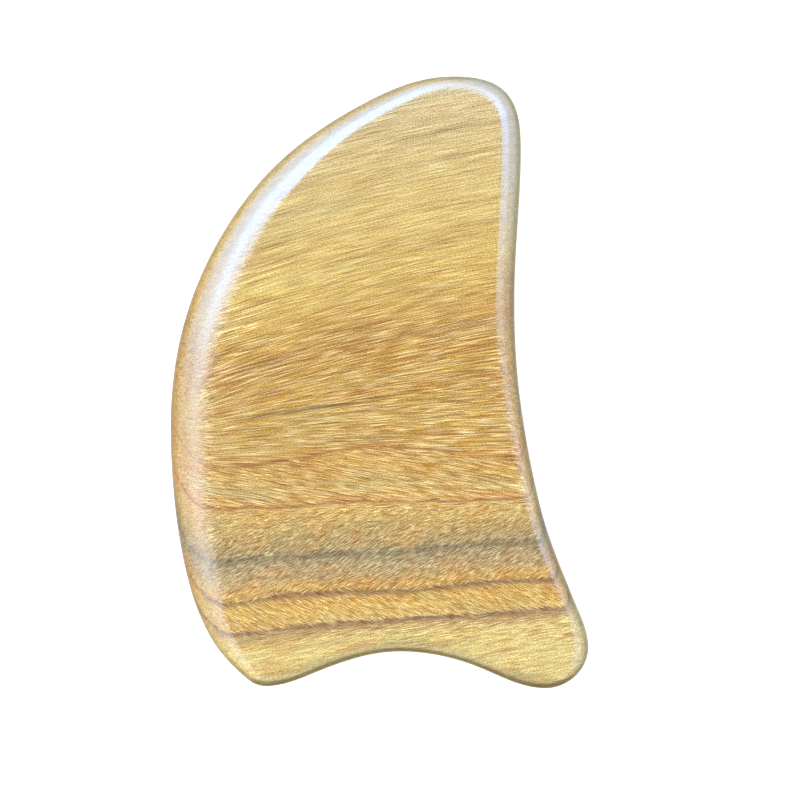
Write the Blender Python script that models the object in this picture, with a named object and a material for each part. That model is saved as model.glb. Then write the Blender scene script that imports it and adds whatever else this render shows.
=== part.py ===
"""Gua sha scraper: one board carved from a single piece of hardwood.

The board lies on its flat back face. +X points to its hollow side, +Y from the lobed end
to the tip, and +Z through its thickness. The origin is under the middle of the board's
own box. Lengths are in metres, except in OUTLINE.
"""

import math

import bmesh
import bpy
from mathutils import Vector
from mathutils.geometry import interpolate_bezier

MM = 0.001

# Driving dimensions
LENGTH = 140 * MM  # from the tip to the lobes, along Y
THICKNESS = 15 * MM  # between the two flat faces

# The outline's anchors, anticlockwise from the top of the tip. Each holds X and Y in
# millimetres on a board 140 mm long, the direction that the edge runs in there, in degrees
# from +X, and the width of the rounded edge beside it, in millimetres.
OUTLINE = (
    (16.5, 70.0, 180, 2.8),  # top of the tip
    (-1.5, 65.0, 207, 4.2),
    (-27.5, 46.0, 229, 6.5),
    (-41.5, 23.5, 247, 8.0),
    (-48.0, -12.0, 271, 8.0),  # widest point of the convex side
    (-44.0, -45.0, 284, 6.8),
    (-38.0, -59.5, 302, 4.6),
    (-30.0, -68.0, 320, 2.5),  # small lobe
    (-25.0, -69.5, 2, 2.0),
    (-12.5, -65.5, 21, 1.8),
    (4.5, -61.5, 0, 1.7),  # top of the notch
    (21.0, -64.5, 340, 1.7),
    (37.5, -70.0, 0, 2.0),  # large lobe
    (48.0, -60.0, 90, 3.2),
    (45.0, -50.5, 112, 2.4),
    (37.0, -28.5, 104, 2.6),
    (32.5, -5.0, 98, 3.1),  # hollow side
    (31.0, 19.0, 90, 3.8),
    (32.5, 53.0, 90, 4.1),
    (29.0, 66.5, 135, 3.8),  # shoulder of the tip
)

# The rounded edge leaves the flat face at a soft corner. A wide edge is also a deep one.
# Between the front's edge and the back's, the wall bows out a little at mid-thickness.
CORNER_ANGLE = math.radians(28)
EDGE_DEPTH_BASE = 1.9 * MM
EDGE_DEPTH_PER_WIDTH = 0.6
EDGE_STEPS = 7
WALL_BOW = 0.8 * MM

# Fineness of the outline: a step covers at most this length and this turn
STEP_LENGTH = 3.6 * MM
STEP_TURN = math.radians(9)

WOOD_COLOUR = (0.60, 0.36, 0.11, 1.0)
WOOD_ROUGHNESS = 0.32


def clear_scene():
    for old in list(bpy.data.objects):
        bpy.data.objects.remove(old, do_unlink=True)


def heading(degrees):
    """The unit vector that points this many degrees anticlockwise from +X."""
    return Vector((math.cos(math.radians(degrees)), math.sin(math.radians(degrees)), 0))


def turn_between(start_degrees, end_degrees):
    """The signed turn from one direction to another, the short way, in radians."""
    return math.radians((end_degrees - start_degrees + 180) % 360 - 180)


def smooth_step(t):
    return t * t * (3 - 2 * t)


def outline_stretch(start, end):
    """Points and edge widths from one anchor up to, but not including, the next.

    The handles are as long as those of a circular arc of the same chord and turn.
    """
    start_point = Vector((start[0], start[1], 0)) * MM
    end_point = Vector((end[0], end[1], 0)) * MM
    turn = abs(turn_between(start[2], end[2]))
    chord = (end_point - start_point).length
    handle = chord * 2 / (3 * (1 + math.cos(turn / 2)))
    steps = max(math.ceil(chord / STEP_LENGTH), math.ceil(turn / STEP_TURN))
    points = interpolate_bezier(
        start_point,
        start_point + handle * heading(start[2]),
        end_point - handle * heading(end[2]),
        end_point,
        steps + 1,
    )
    stretch = []
    for step in range(steps):
        blend = smooth_step(step / steps)
        width = (start[3] + (end[3] - start[3]) * blend) * MM
        stretch.append((points[step], width))
    return stretch


def outline_points():
    """The closed outline, centred on its own box and scaled to LENGTH, with edge widths."""
    outline = []
    for start, end in zip(OUTLINE, OUTLINE[1:] + OUTLINE[:1]):
        outline += outline_stretch(start, end)
    xs = [point.x for point, _ in outline]
    ys = [point.y for point, _ in outline]
    middle = Vector(((min(xs) + max(xs)) / 2, (min(ys) + max(ys)) / 2, 0))
    scale = LENGTH / (max(ys) - min(ys))
    return [((point - middle) * scale, width * scale) for point, width in outline]


def inward_normals(points):
    """At each point of an anticlockwise outline, the unit vector into the board."""
    normals = []
    for index, point in enumerate(points):
        ahead = points[(index + 1) % len(points)] - point
        behind = point - points[index - 1]
        along = ahead.normalized() + behind.normalized()
        normals.append(Vector((-along.y, along.x, 0)).normalized())
    return normals


def edge_profile(width):
    """(inset, depth below the front face) from the face's rim down to mid-thickness."""
    half = THICKNESS / 2
    edge_depth = EDGE_DEPTH_BASE + EDGE_DEPTH_PER_WIDTH * width
    profile = []
    for step in range(EDGE_STEPS + 1):
        slope = CORNER_ANGLE + (math.pi / 2 - CORNER_ANGLE) * step / EDGE_STEPS
        across = (1 - math.sin(slope)) / (1 - math.sin(CORNER_ANGLE))
        depth = edge_depth * (1 - math.cos(slope) / math.cos(CORNER_ANGLE))
        bow = WALL_BOW * (1 - depth / half) ** 2
        profile.append(((width - WALL_BOW) * across + bow, depth))
    profile.append((0.0, half))
    return profile


def board_rings():
    """Rings of points around the board, from the front face's rim to the back face's."""
    outline = outline_points()
    points = [point for point, _ in outline]
    normals = inward_normals(points)
    front_half = [edge_profile(width) for _, width in outline]
    back_half = [
        [(inset, THICKNESS - depth) for inset, depth in reversed(profile[:-1])]
        for profile in front_half
    ]
    profiles = [front + back for front, back in zip(front_half, back_half)]
    rings = []
    for step in range(len(profiles[0])):
        ring = []
        for point, normal, profile in zip(points, normals, profiles):
            inset, depth = profile[step]
            ring.append(point + normal * inset + Vector((0, 0, THICKNESS - depth)))
        rings.append(ring)
    return rings


def add_side_faces(mesh, upper, lower):
    """A band of smooth quads between two rings of vertices."""
    count = len(upper)
    for index in range(count):
        after = (index + 1) % count
        face = mesh.faces.new((upper[index], lower[index], lower[after], upper[after]))
        face.smooth = True


def add_flat_face(mesh, ring):
    """One of the board's flat faces, cut into well-shaped triangles."""
    face = mesh.faces.new(ring)
    for edge in face.edges:
        edge.smooth = False
    bmesh.ops.triangulate(mesh, faces=[face], ngon_method="BEAUTY")


def wood_material():
    material = bpy.data.materials.new("polished_wood")
    material.use_nodes = True
    shader = material.node_tree.nodes["Principled BSDF"]
    shader.inputs["Base Color"].default_value = WOOD_COLOUR
    shader.inputs["Roughness"].default_value = WOOD_ROUGHNESS
    shader.inputs["Metallic"].default_value = 0.0
    return material


def make_scraper_board():
    bm = bmesh.new()
    rings = [[bm.verts.new(point) for point in ring] for ring in board_rings()]
    for upper, lower in zip(rings, rings[1:]):
        add_side_faces(bm, upper, lower)
    add_flat_face(bm, rings[0])
    add_flat_face(bm, list(reversed(rings[-1])))
    mesh = bpy.data.meshes.new("scraper_board")
    bm.to_mesh(mesh)
    bm.free()
    mesh.materials.append(wood_material())
    board = bpy.data.objects.new("scraper_board", mesh)
    bpy.context.scene.collection.objects.link(board)
    return board


def main():
    clear_scene()
    make_scraper_board()


main()
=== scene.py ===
"""Looks of a wooden gua sha scraper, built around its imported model.

The frame is in metres: +X towards the hollow side, +Y towards the tip, +Z out of the
front face. The wood is a solid texture worked out in millimetres in the same frame.
"""

import math

import bmesh
import bpy
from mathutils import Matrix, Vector, noise
from mathutils.geometry import delaunay_2d_cdt


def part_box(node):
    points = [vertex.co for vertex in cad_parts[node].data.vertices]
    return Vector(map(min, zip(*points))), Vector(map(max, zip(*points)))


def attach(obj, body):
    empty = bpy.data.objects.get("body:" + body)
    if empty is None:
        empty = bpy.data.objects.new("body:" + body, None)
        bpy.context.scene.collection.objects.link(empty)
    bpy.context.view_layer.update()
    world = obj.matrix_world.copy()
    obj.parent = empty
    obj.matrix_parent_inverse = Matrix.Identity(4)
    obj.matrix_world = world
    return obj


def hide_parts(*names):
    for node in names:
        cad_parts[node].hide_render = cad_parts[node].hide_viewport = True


MM = 0.001

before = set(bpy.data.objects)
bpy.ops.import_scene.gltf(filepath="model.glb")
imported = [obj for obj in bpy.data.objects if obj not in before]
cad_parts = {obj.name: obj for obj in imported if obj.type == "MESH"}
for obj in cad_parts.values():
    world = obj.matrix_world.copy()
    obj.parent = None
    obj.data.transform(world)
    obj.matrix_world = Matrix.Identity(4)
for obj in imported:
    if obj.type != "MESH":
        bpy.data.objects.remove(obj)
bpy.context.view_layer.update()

BOARD_NODE = "scraper_board"
LOW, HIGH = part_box(BOARD_NODE)
CENTRE = (LOW + HIGH) / 2
MID_HEIGHT = (LOW.z + HIGH.z) / 2
LENGTH = HIGH.y - LOW.y

# ---------------------------------------------------------------- board's fine mesh

# Every ring of the board can be seen whole from this point, a little off the box's centre.
EYE_SHIFT_X = -0.02 * LENGTH
EYE_SHIFT_Y = -0.11 * LENGTH
EYE = Vector((CENTRE.x + EYE_SHIFT_X, CENTRE.y + EYE_SHIFT_Y, 0))

# Points closer than WELD are one point, and LEVEL_GAP tells one face's rim from the other's.
WELD = 0.001 * MM
LEVEL_GAP = 0.1 * MM

# How far in from the edge the face starts to roll over, by direction from EYE in degrees.
ROLL_STARTS = (
    (-180, 3.0 * MM), (-150, 2.4 * MM), (-120, 1.2 * MM), (-90, 0.6 * MM), (-45, 1.2 * MM),
    (-20, 1.5 * MM), (45, 1.6 * MM), (70, 1.5 * MM), (90, 1.3 * MM), (103, 1.4 * MM),
    (118, 2.5 * MM), (150, 2.9 * MM), (180, 3.0 * MM),
)
# How the roll-over begins: shares of the way in from the rim, and how far the wood has sunk.
ROLL = ((1, 0), (0.5, 0.07 * MM), (0, 0.28 * MM))
SUBDIVISIONS = 2

# The spacing of the flat faces' triangles, and the share of it that they stay off the rim.
FACE_SPACING = 1.3 * MM
RIM_GAP_SHARE = 0.6

# The arris is softened down to this depth below each face, in this many passes, each of
# which moves a point this share of the way to the middle of its neighbours.
ARRIS_DEPTH = 2.2 * MM
ARRIS_PASSES = 30
ARRIS_FACTOR = 0.5

# The depth and length of the waves that hand sanding leaves.
HAND_WAVES = 0.035 * MM
HAND_WAVE_LENGTH = 24 * MM


def angle_from_eye(vertex):
    """A vertex's direction from EYE in plan, in radians."""
    return math.atan2(vertex.co.y - EYE.y, vertex.co.x - EYE.x)


def cad_rings():
    """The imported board's rings of points, from the front face's rim to the back face's.

    The front face's own points are the first ring, and each next ring is what an edge
    joins to the ring before.
    """
    bm = bmesh.new()
    bm.from_mesh(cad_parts[BOARD_NODE].data)
    bmesh.ops.remove_doubles(bm, verts=bm.verts, dist=WELD)
    ring = {vertex for vertex in bm.verts if vertex.co.z > HIGH.z - WELD}
    seen = set()
    rings = []
    while ring:
        seen |= ring
        rings.append([vertex.co.copy() for vertex in sorted(ring, key=angle_from_eye)])
        ring = {edge.other_vert(vertex) for vertex in ring for edge in vertex.link_edges}
        ring -= seen
    bm.free()
    return [start_beside(ring, rings[0][0]) for ring in rings]


def start_beside(ring, point):
    """The same ring, from the vertex that lies closest to a point in plan."""
    gaps = [(vertex.xy - point.xy).length for vertex in ring]
    first = gaps.index(min(gaps))
    return ring[first:] + ring[:first]


def roll_start(direction):
    """How far in from the edge the face starts to roll over, in a direction in degrees."""
    for (before, low), (after, high) in zip(ROLL_STARTS, ROLL_STARTS[1:]):
        if direction <= after:
            return low + (high - low) * (direction - before) / (after - before)


def drawn_in(ring, share, sink):
    """A ring between a face's rim and where the face stops being flat, sunk a little.

    The share is 0 at the rim and 1 where the roll-over starts.
    """
    inner = []
    for point in ring:
        outward = (point.xy - EYE.xy).normalized()
        inset = share * roll_start(math.degrees(math.atan2(outward.y, outward.x)))
        place = point.xy - outward * inset
        height = point.z - math.copysign(sink, point.z - CENTRE.z)
        inner.append(Vector((place.x, place.y, height)))
    return inner


def edge_band():
    """A smooth fine band round the board's edge, open at its two flat faces."""
    rings = cad_rings()
    front = [drawn_in(rings[0], share, sink) for share, sink in ROLL]
    back = [drawn_in(rings[-1], share, sink) for share, sink in reversed(ROLL)]
    rings = front + rings[1:-1] + back
    count = len(rings[0])
    bm = bmesh.new()
    rows = [[bm.verts.new(point) for point in ring] for ring in rings]
    for upper, lower in zip(rows, rows[1:]):
        for here in range(count):
            after = (here + 1) % count
            bm.faces.new((upper[here], lower[here], lower[after], upper[after]))
    mesh = bpy.data.meshes.new("edge_band")
    bm.to_mesh(mesh)
    bm.free()
    band = bpy.data.objects.new("edge_band", mesh)
    bpy.context.scene.collection.objects.link(band)
    smooth = band.modifiers.new("smooth", "SUBSURF")
    smooth.levels = SUBDIVISIONS
    smooth.render_levels = SUBDIVISIONS
    fine = bpy.data.meshes.new_from_object(
        band.evaluated_get(bpy.context.evaluated_depsgraph_get())
    )
    bpy.data.objects.remove(band)
    return fine


def boundary_loop(bm, height):
    """The vertices of the open edge at a height, in order."""
    follow = next(
        e for e in bm.edges if e.is_boundary and abs(e.verts[0].co.z - height) < LEVEL_GAP
    )
    loop = [follow.verts[0]]
    while True:
        vertex = follow.other_vert(loop[-1])
        if vertex is loop[0]:
            return loop
        loop.append(vertex)
        follow = next(e for e in vertex.link_edges if e.is_boundary and e is not follow)


def triangle_grid():
    """Points of an even triangular grid over the whole board, in plan."""
    row_height = FACE_SPACING * math.sqrt(3) / 2
    points = []
    for row in range(math.ceil((HIGH.y - LOW.y) / row_height)):
        shift = FACE_SPACING / 2 * (row % 2)
        for column in range(math.ceil((HIGH.x - LOW.x) / FACE_SPACING)):
            x = LOW.x + shift + column * FACE_SPACING
            points.append(Vector((x, LOW.y + row * row_height)))
    return points


def fill_face(bm, height, facing):
    """Fills one flat face with even triangles, facing up (1) or down (-1)."""
    loop = boundary_loop(bm, height)
    outline = [vertex.co.xy for vertex in loop]
    count = len(loop)
    gap = RIM_GAP_SHARE * FACE_SPACING
    inside = [point for point in triangle_grid() if clear_of(outline, point, gap)]
    rim = [(here, (here + 1) % count) for here in range(count)]
    places, _, triangles, *_ = delaunay_2d_cdt(outline + inside, rim, [], 1, WELD)
    vertices = loop + [bm.verts.new((place.x, place.y, height)) for place in places[count:]]
    for corners in triangles:
        a, b, c = (places[corner] for corner in corners)
        if (b - a).cross(c - a) * facing < 0:
            corners = corners[::-1]
        bm.faces.new([vertices[corner] for corner in corners])


def clear_of(outline, point, gap):
    """Whether a point is inside an outline and further than a gap from it."""
    inside = False
    for start, end in zip(outline, outline[1:] + outline[:1]):
        if (start - point).length < gap:
            return False
        if (start.y > point.y) != (end.y > point.y):
            cut = start.x + (end.x - start.x) * (point.y - start.y) / (end.y - start.y)
            inside ^= point.x < cut
    return inside


def soften_arris(bm):
    """Rounds the line where each face starts to roll over, without moving anything in plan."""
    deep = (HIGH.z - LOW.z) / 2 - ARRIS_DEPTH
    shallow = [vertex for vertex in bm.verts if abs(vertex.co.z - MID_HEIGHT) > deep]
    for _ in range(ARRIS_PASSES):
        bmesh.ops.smooth_vert(bm, verts=shallow, factor=ARRIS_FACTOR, use_axis_z=True)


def fine_board():
    """The board as one closed fine mesh, with the slight waves that hand sanding leaves."""
    fine = edge_band()
    bm = bmesh.new()
    bm.from_mesh(fine)
    bpy.data.meshes.remove(fine)
    fill_face(bm, HIGH.z, 1)
    fill_face(bm, LOW.z, -1)
    bm.normal_update()
    for vertex in bm.verts:
        wave = noise.noise(vertex.co / HAND_WAVE_LENGTH)
        vertex.co += vertex.normal * HAND_WAVES * (wave - 1) / 2
    soften_arris(bm)
    for face in bm.faces:
        face.smooth = True
    mesh = bpy.data.meshes.new("carved_board")
    bm.to_mesh(mesh)
    bm.free()
    board = bpy.data.objects.new("carved_board", mesh)
    bpy.context.scene.collection.objects.link(board)
    return board


# ---------------------------------------------------------------- shader arithmetic

# The curve between screen values and linear light.
SCREEN_MAX = 255
DARK_LIMIT = 0.04045
DARK_SLOPE = 12.92
CURVE_OFFSET = 0.055
CURVE_POWER = 2.4


def linear(red, green, blue):
    """A colour given as screen values, 0 to 255, in the linear light that shaders use."""
    channels = []
    for value in (red, green, blue):
        share = value / SCREEN_MAX
        if share <= DARK_LIMIT:
            channels.append(share / DARK_SLOPE)
        else:
            channels.append(((share + CURVE_OFFSET) / (1 + CURVE_OFFSET)) ** CURVE_POWER)
    return (*channels, 1)


def grey(value):
    """An even grey of this linear brightness."""
    return (value, value, value, 1)


class Field:
    """A number that varies from place to place: a node socket that ordinary sums work on."""

    def __init__(self, tree, socket):
        self.tree = tree
        self.socket = socket

    def sum(self, operation, *values):
        """What a Math node makes of some fields and plain numbers."""
        node = self.tree.nodes.new("ShaderNodeMath")
        node.operation = operation
        for port, value in zip(node.inputs, values):
            if isinstance(value, Field):
                self.tree.links.new(value.socket, port)
            else:
                port.default_value = value
        return Field(self.tree, node.outputs[0])

    def __add__(self, other):
        return self.sum("ADD", self, other)

    def __sub__(self, other):
        return self.sum("SUBTRACT", self, other)

    def __rsub__(self, other):
        return self.sum("SUBTRACT", other, self)

    def __mul__(self, other):
        return self.sum("MULTIPLY", self, other)

    def __truediv__(self, other):
        return self.sum("DIVIDE", self, other)

    def __abs__(self):
        return self.sum("ABSOLUTE", self)

    def root(self):
        return self.sum("SQRT", self)

    def above(self, limit):
        return self.sum("GREATER_THAN", self, limit)

    def towards(self, other, share):
        """Goes from this field to another one as the share goes from 0 to 1."""
        return self + (other - self) * share

    def ramp(self, start, end, low=0.0, high=1.0, kind="SMOOTHSTEP"):
        """Goes from low to high as the field goes from start to end, and stays there.

        The start may be the larger one, and then the field falls as it nears the end.
        """
        node = self.tree.nodes.new("ShaderNodeMapRange")
        node.interpolation_type = kind
        self.tree.links.new(self.socket, node.inputs["Value"])
        node.inputs["From Min"].default_value = start
        node.inputs["From Max"].default_value = end
        node.inputs["To Min"].default_value = low
        node.inputs["To Max"].default_value = high
        return Field(self.tree, node.outputs["Result"])

    def clamp(self, low, high):
        """Stays between low and high."""
        return self.ramp(low, high, low, high, "LINEAR")

    def line(self, centre, above, below):
        """1 along a line at centre, fading out over a distance above it and one below it."""
        upper = self.ramp(centre, centre + above, 1, 0)
        lower = self.ramp(centre - below, centre, 0, 1)
        return upper * lower


def coordinate(tree, output):
    """The three fields of one of the texture coordinates, such as Object or Normal."""
    split = tree.nodes.new("ShaderNodeSeparateXYZ")
    tree.links.new(tree.nodes.new("ShaderNodeTexCoord").outputs[output], split.inputs[0])
    return [Field(tree, port) for port in split.outputs]


def grain_noise(along, across, through, sizes, detail=0, roughness=0.5):
    """Noise whose blotches have the given sizes along the fibres, across them and in depth."""
    tree = along.tree
    place = tree.nodes.new("ShaderNodeCombineXYZ")
    for port, value, size in zip(place.inputs, (along, across, through), sizes):
        tree.links.new((value / size).socket, port)
    node = tree.nodes.new("ShaderNodeTexNoise")
    node.inputs["Scale"].default_value = 1
    node.inputs["Detail"].default_value = detail
    node.inputs["Roughness"].default_value = roughness
    tree.links.new(place.outputs[0], node.inputs["Vector"])
    return Field(tree, node.outputs["Fac"])


def tint(share, colour, other, blend="MIX"):
    """A colour with a share of another one in it; each is a socket or four numbers."""
    node = share.tree.nodes.new("ShaderNodeMix")
    node.data_type = "RGBA"
    node.blend_type = blend
    share.tree.links.new(share.socket, named_port(node.inputs, "Factor_Float"))
    for value, name in ((colour, "A_Color"), (other, "B_Color")):
        port = named_port(node.inputs, name)
        if isinstance(value, bpy.types.NodeSocket):
            share.tree.links.new(value, port)
        else:
            port.default_value = value
    return named_port(node.outputs, "Result_Color")


def named_port(ports, identifier):
    """One port of a node on which several ports have the same label."""
    return next(port for port in ports if port.identifier == identifier)


# ---------------------------------------------------------------- wood

# Lengths in this section are in mm from the middle of the board. A tuple that feeds a ramp
# holds its start and end, and then its low and high where they aren't 0 and 1.

# The growth layers cross the front face where these heights say, with their colours there,
# and they climb LAYER_CLIMB mm for each mm that one goes in from that face.
LAYER_CLIMB = 2.1
LAYERS = (
    (-100, (202, 160, 74)), (-90, (226, 194, 110)), (-80, (204, 166, 78)),
    (-66, (236, 214, 132)), (-58, (232, 206, 122)), (-55.5, (208, 168, 92)),
    (-52.5, (222, 178, 80)), (-49, (226, 176, 50)), (-45, (206, 154, 56)),
    (-43.5, (186, 148, 88)), (-41, (182, 152, 104)), (-38.6, (162, 136, 86)),
    (-35, (184, 146, 72)), (-31, (210, 170, 76)), (-27.5, (220, 172, 70)),
    (-23, (206, 164, 70)), (-18, (212, 156, 18)), (-14, (206, 156, 44)),
    (-8, (206, 158, 40)), (2, (205, 153, 20)), (10, (199, 142, 4)),
    (15.5, (208, 158, 42)), (23.5, (224, 186, 80)), (40, (224, 193, 106)), (70, (212, 188, 136)),
)

# The layers rise towards the right: by LOW_LEAN at the lobes, and by HIGH_LEAN more at the
# tip. Above ARCH_BOTTOM they also arch, and drop by ARCH with distance from ARCH_MIDDLE;
# the arch is weaker above ARCH_TOP.
LOW_LEAN = (-56, -18, 0.096, 0.02)
HIGH_LEAN = (-14, 16, 0.0, 0.2)
ARCH_MIDDLE = 1
ARCH = (0, 36, 0.0, 4.2)
ARCH_BOTTOM = (-25, -18)
ARCH_TOP = (0, -13, 0.65, 1.0)

# Slow and quick waves in every layer: their sizes across, up and in depth, and their heights.
WANDER_SIZES = (34, 22, 22)
WANDER_HEIGHT = 4
QUIVER_SIZES = (5, 3, 3)
QUIVER_HEIGHT = 0.8
NOISE_MIDDLE = 0.5

# The upper fibres fan out from a point off the board's left side. At FAN_HEIGHT on its
# middle line they slope by FAN_SLOPE, and by FAN_SPREAD more for each mm up. FAN_BOW bends
# them down towards both sides, and FAN_CUT is below 1 because they are cut long.
FAN_HEIGHT = 2
FAN_SLOPE = 0.2
FAN_SPREAD = 0.011
FAN_BOW = 0.0045
FAN_LOWEST = -0.2
FAN_HIGHEST = 0.245
FAN_CUT = 0.78

# Below each of these layers the fibres have a new slope, and are cut shorter this many
# times. They are thinner there too, and each change happens along a quivering line.
TURNS = (
    (-14.6, -0.17, 1.2), (-27.5, 0.1, 2.0), (-29.5, 0.3, 2.4), (-33, 0.55, 2.9),
    (-47, -0.45, 2.4), (-54.5, 0.2, 1.7),
)
TURN_THINNING = 1.25
TURN_QUIVER = 5

# Neighbouring fibres end at different places, up to STRAY_LENGTH apart.
STRAY_SIZES = (25, 0.5, 0.5)
STRAY_LENGTH = 12

# Noises that follow the fibres. Each has its sizes along the fibres, across them and in
# depth, its detail, and shifts along and across that keep it from matching the others.
THIN_FIBRES = ((4.6, 0.17, 0.3), 0, 0, 0)
THICK_FIBRES = ((4.6, 0.25, 0.3), 0, 0, 0)
MOTTLE = ((22, 5, 5), 2, 0, 0)
BUNDLES = ((40, 1.5, 1.5), 2, 0, 70)
BUNDLE_ROUGHNESS = 0.55
PORES = ((15, 0.22, 0.6), 1, 50, 0)
DASHES = ((9, 0.19, 0.6), 0, 90, 0)
FLECKS = ((8, 0.55, 1.5), 1, 0, 30)
SPECKLE_SIZES = (0.3, 0.28, 0.3)

# The fan gathers towards the left, where its fibres are thicker so that they still show.
GATHERED_SIDE = (-10, -34)
GATHERED_BOTTOM = (-16, -14)

# The fine fibres are strongest between the tip and the lobes, and weaker on the worn edge.
RICH_TOP = (40, 4, 0.4, 1.0)
RICH_BOTTOM = (-62, -54, 0.4, 1.0)
HANDLED = (0.96, 0.998, 0.4, 1.0)

# A little over 1, so that the root that uses it isn't 0 on the flat faces.
JUST_OVER_ONE = 1.0001


class Wood:
    """The fields that the board's colour, gloss and relief are worked out from."""

    def __init__(self, tree):
        self.tree = tree
        self.find_place()
        self.find_facing()
        self.find_layer()
        self.find_fibre_directions()
        self.draw_fibres()

    def find_place(self):
        """How far right, up, and in from the front face; height stays with a layer."""
        self.x, self.y, z = (field / MM for field in coordinate(self.tree, "Object"))
        self.depth = HIGH.z / MM - z
        self.height = self.y - self.depth * LAYER_CLIMB

    def find_facing(self):
        """Where the surface faces.

        The slant is 1 on the flat faces and 0 on the wall. On the edge, upward is 1 where it
        faces the tip's end of the board and -1 where it faces the lobes' end.
        """
        self.to_right, to_top, to_front = coordinate(self.tree, "Normal")
        self.slant = abs(to_front)
        self.upward = to_top / (JUST_OVER_ONE - self.slant * self.slant).root()

    def find_layer(self):
        """Which growth layer a point is in, by the heights in LAYERS."""
        self.wander = self.blotches(WANDER_SIZES) - NOISE_MIDDLE
        self.quiver = self.blotches(QUIVER_SIZES) - NOISE_MIDDLE
        lean = self.height.ramp(*LOW_LEAN, "LINEAR") + self.height.ramp(*HIGH_LEAN)
        arch = abs(self.x - ARCH_MIDDLE).ramp(*ARCH)
        arched = self.height.ramp(*ARCH_BOTTOM) * self.height.ramp(*ARCH_TOP)
        waves = self.wander * WANDER_HEIGHT + self.quiver * QUIVER_HEIGHT
        self.layer = self.height - lean * self.x + arch * arched + waves

    def find_fibre_directions(self):
        """How far a point is along the fibres and across them."""
        bow = self.x - self.x * self.x * FAN_BOW
        fan = (self.height - FAN_HEIGHT) * FAN_SPREAD + FAN_SLOPE
        fan = (fan / (bow * FAN_SPREAD + 1)).clamp(FAN_LOWEST, FAN_HIGHEST)
        along = self.x * FAN_CUT
        across = self.y - fan * bow
        for limit, slope, cut in TURNS:
            under = 1 - (self.layer + self.quiver * TURN_QUIVER).above(limit)
            length = math.hypot(1, slope)
            turned_along = (self.x + self.y * slope) * (cut / length)
            turned_across = (self.y - self.x * slope) * (TURN_THINNING / length)
            along = along.towards(turned_along, under)
            across = across.towards(turned_across, under)
        stray = grain_noise(along, across, self.depth, STRAY_SIZES)
        self.along = along + stray * STRAY_LENGTH
        self.across = across

    def draw_fibres(self):
        """The fine fibres, the speckle and the mottle, and where the fine fibres are rich."""
        gathered = self.x.ramp(*GATHERED_SIDE) * self.layer.ramp(*GATHERED_BOTTOM)
        self.fine = self.strands(*THIN_FIBRES).towards(self.strands(*THICK_FIBRES), gathered)
        self.speckle = self.blotches(SPECKLE_SIZES, 0)
        self.mottle = self.strands(*MOTTLE)
        self.rich = self.height.ramp(*RICH_TOP) * self.height.ramp(*RICH_BOTTOM)
        self.handled = self.slant.ramp(*HANDLED)

    def blotches(self, sizes, detail=1):
        """Noise that doesn't follow the fibres."""
        return grain_noise(self.x, self.y, self.depth, sizes, detail)

    def strands(self, sizes, detail, shift_along, shift_across, roughness=0.5):
        """Noise that follows the fibres."""
        along = self.along + shift_along
        across = self.across + shift_across
        return grain_noise(along, across, self.depth, sizes, detail, roughness)


def layer_colour(layer):
    """The wood's ground colour by growth layer."""
    ramp = layer.tree.nodes.new("ShaderNodeValToRGB")
    first, last = LAYERS[0][0], LAYERS[-1][0]
    elements = ramp.color_ramp.elements
    while len(elements) < len(LAYERS):
        elements.new(1)
    for element, (level, colour) in zip(elements, LAYERS):
        element.position = (level - first) / (last - first)
        element.color = linear(*colour)
    layer.tree.links.new(layer.ramp(first, last, kind="LINEAR").socket, ramp.inputs[0])
    return ramp.outputs[0]


# Patches that are a little warmer or paler than their layer.
WARM_PATCHES = (0.5, 0.62, 0.0, 0.35)
WARM_PATCHES_TOP = (34, 6, 0.3, 1.0)
WARM_COLOUR = (214, 148, 46)
PALE_PATCHES = (0.48, 0.34, 0.0, 0.25)
PALE_COLOUR = (200, 182, 122)


def paint_layers(wood):
    """The growth layers, with warmer and paler patches."""
    warm = wood.mottle.ramp(*WARM_PATCHES) * wood.height.ramp(*WARM_PATCHES_TOP)
    colour = tint(warm, layer_colour(wood.layer), linear(*WARM_COLOUR))
    return tint(wood.mottle.ramp(*PALE_PATCHES), colour, linear(*PALE_COLOUR))


# The growth lines. Each row holds the line's layer, how far it fades out above it and below
# it, its strongest share, and its colour. Each line has a wide patchy haze and a thin core.
HAZES = (
    (-14.2, 2.4, 1.4, 0.45, (216, 136, 20)),
    (-27.0, 2.6, 0.8, 0.5, (222, 142, 20)),
    (-39.4, 1.6, 2.6, 0.45, (136, 120, 90)),
    (-47.5, 1.6, 2.4, 0.45, (166, 112, 66)),
    (-54.3, 1.0, 3.4, 0.45, (166, 122, 84)),
)
CORES = (
    (-14.2, 0.9, 0.8, 0.8, (186, 122, 22)),
    (-27.4, 0.8, 0.6, 0.9, (178, 116, 30)),
    (-38.6, 1.4, 1.0, 0.5, (100, 86, 62)),
    (-47.3, 0.9, 1.1, 0.65, (120, 82, 46)),
    (-54.2, 0.7, 1.5, 0.65, (124, 88, 58)),
)
HAZE_RAGGEDNESS = 1.6
HAZE_PATCHES = (0.35, 0.6, 0.35, 1.0)
CORE_RAGGEDNESS = 0.9
CORE_WEIGHT = (0.3, 0.55, 0.55, 1.0)

# The dark streak across the board's middle: its height and how far it fades out above and
# below, its slope and waves, its ends, and its strongest share and colour.
STREAK = (-3.4, 0.9, 0.7)
STREAK_SLOPE = 0.17
STREAK_WANDER = 2
STREAK_RAGGEDNESS = 1.6
STREAK_LEFT = (-38, -28)
STREAK_RIGHT = (12, -8)
STREAK_SHARE = 0.6
STREAK_COLOUR = (104, 80, 46)

# How much the fibres shine, from clear wood to the darkest growth line.
SHINE = (0.0, 0.8, 1.0, 0.25)


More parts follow.
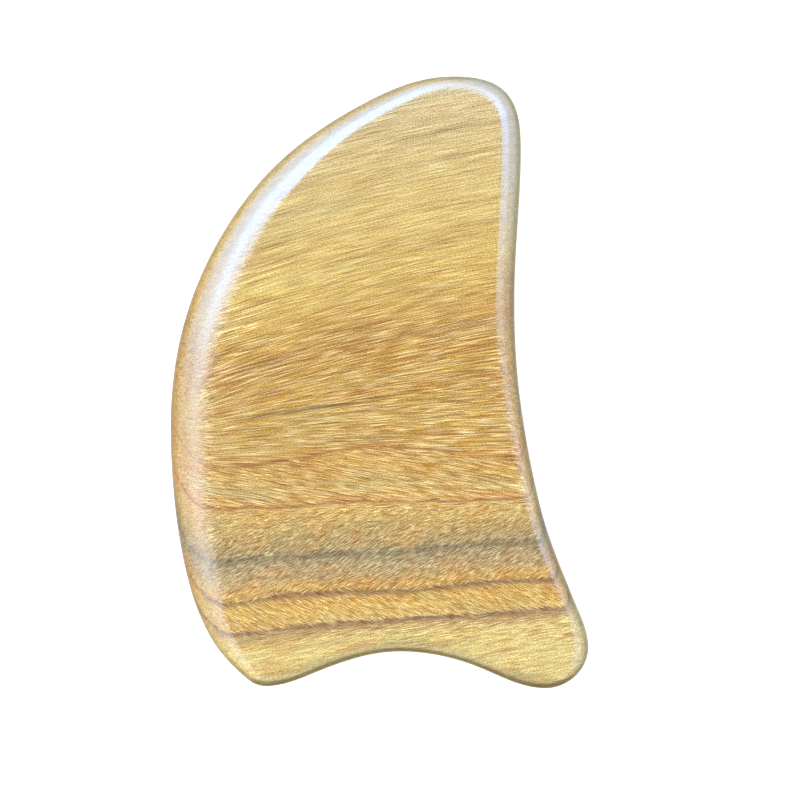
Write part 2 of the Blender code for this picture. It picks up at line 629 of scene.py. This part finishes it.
def paint_growth_lines(wood, colour):
    """The dark lines between growth layers, and how much the fibres on them still shine."""
    uneven = wood.fine - NOISE_MIDDLE
    ragged = wood.layer + uneven * HAZE_RAGGEDNESS
    patches = wood.mottle.ramp(*HAZE_PATCHES)
    for centre, above, below, share, paint in HAZES:
        haze = ragged.line(centre, above, below) * patches * share
        colour = tint(haze, colour, linear(*paint))
    crisp = wood.layer + uneven * CORE_RAGGEDNESS
    weight = wood.mottle.ramp(*CORE_WEIGHT)
    streak = dark_streak(wood, uneven)
    closed = streak
    for centre, above, below, share, paint in CORES:
        core = crisp.line(centre, above, below) * weight * share
        colour = tint(core, colour, linear(*paint))
        closed = closed + core
    colour = tint(streak, colour, linear(*STREAK_COLOUR))
    return colour, closed.ramp(*SHINE, "LINEAR")


def dark_streak(wood, uneven):
    """How strong the dark streak is at a point."""
    height = wood.height - wood.x * STREAK_SLOPE + wood.wander * STREAK_WANDER
    height = height + wood.quiver * QUIVER_HEIGHT + uneven * STREAK_RAGGEDNESS
    ends = wood.x.ramp(*STREAK_LEFT) * wood.x.ramp(*STREAK_RIGHT)
    return height.line(*STREAK) * ends * STREAK_SHARE


# What the dark pores do to the ground colour, and what the shiny fibres add to it: their paler
# colour, partly painted glints.
SHADE = (0.63, 0.52, 0.37, 1)
GLINT = (0.19, 0.19, 0.09, 1)
SPARK = (0.40, 0.41, 0.23, 1)
FLECK_COLOUR = (232, 216, 170)

# How strongly each noise shows, by its own value or by height.
BUNDLE_SHADE = (0.48, 0.64, 0.0, 0.38)
BUNDLE_GLINT = (0.5, 0.34, 0.0, 0.15)
PORE_SHADE = (0.54, 0.61, 0.0, 0.85)
FINE_SHADE = (0.46, 0.36, 0.0, 0.9)
SPECKLE_SHADE = (0.52, 0.3, 0.0, 0.9)
DASH_GLINT = (0.56, 0.61, 0.0, 0.6)
FLECK_SHARE = (0.6, 0.7, 0.0, 0.45)
FLECKS_TOP = (8, 0)
FLECKS_BOTTOM = (-32, -26)
FINE_SPARK = (0.6, 0.66)
SPARKS_TOP = (-2, -9, 0.9, 1.15)
SPARKS_BOTTOM = (-32, -26, 0.85, 1.0)
SPECKLE_GLINT = (0.56, 0.72, 0.0, 0.6)


def paint_dark_fibres(wood, colour):
    """Darker and paler bundles of fibres, long pores, fine dark fibres and dark specks."""
    bundles = wood.strands(*BUNDLES, BUNDLE_ROUGHNESS)
    colour = tint(bundles.ramp(*BUNDLE_SHADE), colour, SHADE, "MULTIPLY")
    colour = tint(bundles.ramp(*BUNDLE_GLINT), colour, GLINT, "ADD")
    pores = wood.strands(*PORES).ramp(*PORE_SHADE) * wood.handled
    colour = tint(pores, colour, SHADE, "MULTIPLY")
    fine = wood.fine.ramp(*FINE_SHADE) * wood.rich * wood.handled
    colour = tint(fine, colour, SHADE, "MULTIPLY")
    return tint(wood.speckle.ramp(*SPECKLE_SHADE), colour, SHADE, "MULTIPLY")


def paint_shiny_fibres(wood, colour, shine):
    """Short bright dashes, silky flecks, sparks on the fine fibres and bright specks: paler
    fibres, partly painted glints.
    """
    # Painted glints: bright colour added along the fibres, on top of their paler colour.
    dashes = wood.strands(*DASHES).ramp(*DASH_GLINT)
    colour = tint(dashes * shine, colour, GLINT, "ADD")
    flecks = wood.strands(*FLECKS).ramp(*FLECK_SHARE)
    flecks = flecks * wood.height.ramp(*FLECKS_TOP) * wood.height.ramp(*FLECKS_BOTTOM)
    colour = tint(flecks * shine, colour, linear(*FLECK_COLOUR))
    lively = wood.height.ramp(*SPARKS_TOP) * wood.height.ramp(*SPARKS_BOTTOM)
    sparks = wood.fine.ramp(*FINE_SPARK) * wood.rich * lively * wood.handled
    colour = tint(sparks * shine, colour, SPARK, "ADD")
    return tint(wood.speckle.ramp(*SPECKLE_GLINT) * shine, colour, GLINT, "ADD")


# The rolled edge gets a painted highlight, a pale and cool sheen. On the left it's paler the
# more it faces the tip, and on the right the higher up it is. The painted sheen ends where the
# edge gets steep.
RIGHT_SIDE = (-0.1, 0.3)
SHEEN_LEFT = (-0.1, 0.6, 0.16, 0.62)
SHEEN_RIGHT = (10, 62, 0.14, 0.54)
SHEEN_BOTTOM = (-0.8, -0.3)
SHEEN_START = (0.998, 0.96)
SHEEN_END_LEFT = (0.68, 0.86)
SHEEN_END_RIGHT = (0.42, 0.75)
SHEEN_COLOUR = (194, 204, 216)

# The steep part of the edge is darker: partly the real darker, oiled end grain, partly painted
# shade, which starts nearer to the face where it faces the lobes' end. The colour depends on the
# side, with olive painted shade on the right, and the wall has less.
STEEP = (0.82, 0.52)
FACING_BOTTOM = (-0.7, -0.95)
BOTTOM_WIDENING = 0.3
PAINTED_SHADE_SIDE = (-0.8, -0.1)
PATINA_AND_SHADE_WALL = (0.2, 0.45)
LEFT_PATINA_AND_SHADE = (0.67, 0.61, 0.54, 1)
RIGHT_PATINA_AND_SHADE = (0.50, 0.57, 0.55, 1)
# Painted shade: the underside of the steep edge, facing the lobes' end, is darkened.
BOTTOM_SHADE = (0.40, 0.39, 0.34, 1)
WALL_PATINA_AND_SHADE = (0.80, 0.68, 0.55, 1)


def paint_edge_sheen(wood, colour):
    """A painted highlight: pale, cool sheen on the part of the edge that rolls over."""
    right = wood.to_right.ramp(*RIGHT_SIDE)
    sheen = wood.upward.ramp(*SHEEN_LEFT).towards(wood.y.ramp(*SHEEN_RIGHT), right)
    end = wood.slant.ramp(*SHEEN_END_LEFT).towards(wood.slant.ramp(*SHEEN_END_RIGHT), right)
    sheen = sheen * wood.upward.ramp(*SHEEN_BOTTOM) * wood.slant.ramp(*SHEEN_START) * end
    # Painted highlight: the pale, cool sheen is mixed into the edge's colour.
    return tint(sheen, colour, linear(*SHEEN_COLOUR))


def paint_edge_patina_and_shade(wood, colour):
    """The darker steep part of the edge and the wall: real oiled end grain with painted shade.
    """
    bottom = wood.upward.ramp(*FACING_BOTTOM)
    patina_and_shade = tint(wood.to_right.ramp(*PAINTED_SHADE_SIDE), LEFT_PATINA_AND_SHADE, RIGHT_PATINA_AND_SHADE)
    patina_and_shade = tint(bottom, patina_and_shade, BOTTOM_SHADE)
    patina_and_shade = tint(wood.slant.ramp(*PATINA_AND_SHADE_WALL), WALL_PATINA_AND_SHADE, patina_and_shade)
    steep = (wood.slant - bottom * BOTTOM_WIDENING).ramp(*STEEP)
    # Painted shade, with the real darker end grain, multiplied into the steep edge.
    return tint(steep, colour, patina_and_shade, "MULTIPLY")


# The wood's roughness by fibre, its relief, and the varnish over it.
FIBRE_ROUGHNESS = (0.3, 0.7, 0.26, 0.38)
RELIEF_WORN = (0.96, 0.998, 0.2, 1.0)
SPECKLE_RELIEF = 0.7
RELIEF_STRENGTH = 0.3
RELIEF_DEPTH = 0.1 * MM
VARNISH_IOR = 1.55
VARNISH_ROUGHNESS = 0.31


def relief(wood):
    """The open grain, which is worn smooth along the edge."""
    bump = wood.tree.nodes.new("ShaderNodeBump")
    bump.inputs["Strength"].default_value = RELIEF_STRENGTH
    bump.inputs["Distance"].default_value = RELIEF_DEPTH
    grain = wood.fine * wood.slant.ramp(*RELIEF_WORN) + wood.speckle * SPECKLE_RELIEF
    wood.tree.links.new(grain.socket, bump.inputs["Height"])
    return bump.outputs["Normal"]


def build_wood():
    """Layered golden wood under a softly polished varnish."""
    material = bpy.data.materials.new("polished_wood")
    material.use_nodes = True
    tree = material.node_tree
    wood = Wood(tree)
    colour, shine = paint_growth_lines(wood, paint_layers(wood))
    colour = paint_dark_fibres(wood, colour)
    colour = paint_shiny_fibres(wood, colour, shine)
    colour = paint_edge_patina_and_shade(wood, paint_edge_sheen(wood, colour))
    shader = tree.nodes["Principled BSDF"]
    tree.links.new(colour, shader.inputs["Base Color"])
    tree.links.new(wood.fine.ramp(*FIBRE_ROUGHNESS).socket, shader.inputs["Roughness"])
    tree.links.new(relief(wood), shader.inputs["Normal"])
    shader.inputs["IOR"].default_value = VARNISH_IOR
    shader.inputs["Coat Weight"].default_value = 1.0
    shader.inputs["Coat IOR"].default_value = VARNISH_IOR
    shader.inputs["Coat Roughness"].default_value = VARNISH_ROUGHNESS
    return material


# ---------------------------------------------------------------- studio

# The camera looks straight down, at a point just beside the board's middle, and sees
# VIEW_WIDTH there. LENS and SENSOR are in mm, and NEAREST is in metres.
VIEW_WIDTH = 183.9 * MM
LENS = 85.0
SENSOR = 36.0
NEAREST = 0.01
AIM = Vector((4.71 * MM, -4.02 * MM, MID_HEIGHT))

# Each light's azimuth and elevation in degrees, its width and height in metres, how bright
# its surface is, and its colour. All stand LIGHT_DISTANCE from the board, in metres.
LIGHT_DISTANCE = 1.2
LIGHTS = {
    "window": (129, 49, (0.9, 0.42), 6.6, (0.12, 0.43, 1.0)),
    "lamp": (44, 50, (0.6, 0.42), 8.0, (0.24, 0.42, 1.0)),
}

# The studio's light by direction: nearly black overhead, then a ring of soft light that's
# brightest at the upper left, then the walls, and then the ground. A direction is a unit
# vector, so each start is the sine of an elevation.
CEILING_START = (0.84, 0.985)
CEILING_LIGHT = grey(0.12)
RING_START = (0.53, 0.66)
RING_TO_RIGHT = 0.8
RING_TO_BOTTOM = 0.6
RING_DIMMING = (-0.7, 0.5)
RING_BRIGHTEST = (2.78, 2.92, 3.2, 1)
RING_DIMMEST = (1.35, 1.44, 1.6, 1)
WALLS_START = (-0.1, 0.1)
WALLS_TO_RIGHT = (-0.6, 0.6)
LEFT_WALL = (0.75, 0.68, 0.62, 1)
RIGHT_WALL = (0.36, 0.4, 0.42, 1)
GROUND_TO_BOTTOM = (-0.3, -0.8)
GROUND_AT_TOP = (0.6, 0.62, 0.6, 1)
GROUND_AT_BOTTOM = grey(0.1)

# The floor's half width is in metres.
FLOOR_HALF_WIDTH = 3
FLOOR_GAP = 0.02 * MM
FLOOR_COLOUR = grey(0.85)
FLOOR_ROUGHNESS = 0.9
FLOOR_GLOW = 0.6


def build_camera():
    """Looks straight down on the front face, with the tip at the top."""
    data = bpy.data.cameras.new("camera")
    data.lens = LENS
    data.sensor_width = SENSOR
    data.clip_start = NEAREST
    camera = bpy.data.objects.new("camera", data)
    camera.location = AIM + Vector((0, 0, VIEW_WIDTH * LENS / SENSOR))
    bpy.context.scene.collection.objects.link(camera)
    bpy.context.scene.camera = camera


def add_softbox(name, azimuth, elevation, size, brightness, colour):
    """A rectangular light that faces the board, and shows only in its reflections."""
    light = bpy.data.lights.new(name, "AREA")
    light.shape = "RECTANGLE"
    width, height = size
    light.size = width
    light.size_y = height
    light.energy = brightness * math.pi * width * height
    light.color = colour
    light.use_shadow = False
    box = bpy.data.objects.new(name, light)
    turn, rise = math.radians(azimuth), math.radians(elevation)
    flat = math.cos(rise)
    direction = Vector((math.cos(turn) * flat, math.sin(turn) * flat, math.sin(rise)))
    box.location = direction * LIGHT_DISTANCE
    box.rotation_euler = direction.to_track_quat("Z", "Y").to_euler()
    box.visible_camera = False
    box.visible_diffuse = False
    bpy.context.scene.collection.objects.link(box)


def build_world():
    """A dark ceiling inside a ring of soft light, with dimmer walls and ground below it."""
    world = bpy.data.worlds.new("studio")
    bpy.context.scene.world = world
    world.use_nodes = True
    tree = world.node_tree
    to_right, to_top, climb = coordinate(tree, "Generated")
    dimming = (to_right * RING_TO_RIGHT - to_top * RING_TO_BOTTOM).ramp(*RING_DIMMING)
    ring = tint(dimming, RING_BRIGHTEST, RING_DIMMEST)
    walls = tint(to_right.ramp(*WALLS_TO_RIGHT), LEFT_WALL, RIGHT_WALL)
    ground = tint(to_top.ramp(*GROUND_TO_BOTTOM), GROUND_AT_TOP, GROUND_AT_BOTTOM)
    colour = tint(climb.ramp(*WALLS_START), ground, walls)
    colour = tint(climb.ramp(*RING_START), colour, ring)
    colour = tint(climb.ramp(*CEILING_START), colour, CEILING_LIGHT)
    tree.links.new(colour, tree.nodes["Background"].inputs["Color"])


def build_floor():
    """A plain pale floor that glows a little and stays out of the board's reflections."""
    bm = bmesh.new()
    bmesh.ops.create_grid(bm, x_segments=1, y_segments=1, size=FLOOR_HALF_WIDTH)
    mesh = bpy.data.meshes.new("floor")
    bm.to_mesh(mesh)
    bm.free()
    floor = bpy.data.objects.new("floor", mesh)
    floor.location.z = LOW.z - FLOOR_GAP
    floor.visible_glossy = False
    material = bpy.data.materials.new("pale_floor")
    material.use_nodes = True
    shader = material.node_tree.nodes["Principled BSDF"]
    shader.inputs["Base Color"].default_value = FLOOR_COLOUR
    shader.inputs["Roughness"].default_value = FLOOR_ROUGHNESS
    shader.inputs["Emission Color"].default_value = grey(1)
    shader.inputs["Emission Strength"].default_value = FLOOR_GLOW
    mesh.materials.append(material)
    bpy.context.scene.collection.objects.link(floor)


# ---------------------------------------------------------------- scene

board = fine_board()
board.data.materials.append(build_wood())
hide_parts(BOARD_NODE)
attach(board, "root")

build_camera()
build_world()
build_floor()
for light_name, settings in LIGHTS.items():
    add_softbox(light_name, *settings)
bpy.context.scene.view_settings.view_transform = "Standard"
